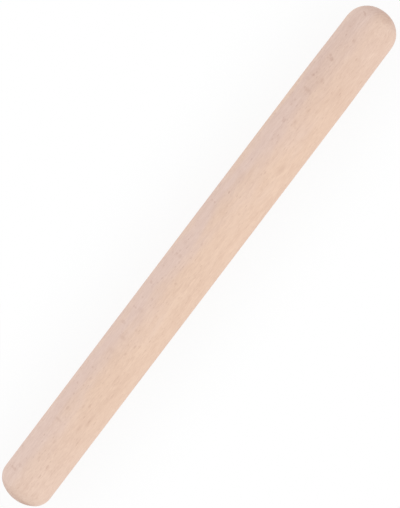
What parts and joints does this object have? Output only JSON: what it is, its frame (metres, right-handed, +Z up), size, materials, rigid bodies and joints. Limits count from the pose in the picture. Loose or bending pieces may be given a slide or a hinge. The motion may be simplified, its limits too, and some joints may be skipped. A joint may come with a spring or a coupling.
{
  "type": "french rolling pin",
  "caption": "Straight rolling pin turned from solid beech, with a plain cylindrical barrel and domed ends, for rolling out dough.",
  "frame": {"origin": "middle of the pin's length, on its turning axis", "axes": "+X along the turning axis, towards the rounder end; +Z up with the pin lying on a table"},
  "size_m": [0.435, 0.04, 0.04],
  "materials": {
    "beech": "matte"
  },
  "bodies": {
    "root": {"rolling_pin": "beech"}
  },
  "joints": []
}
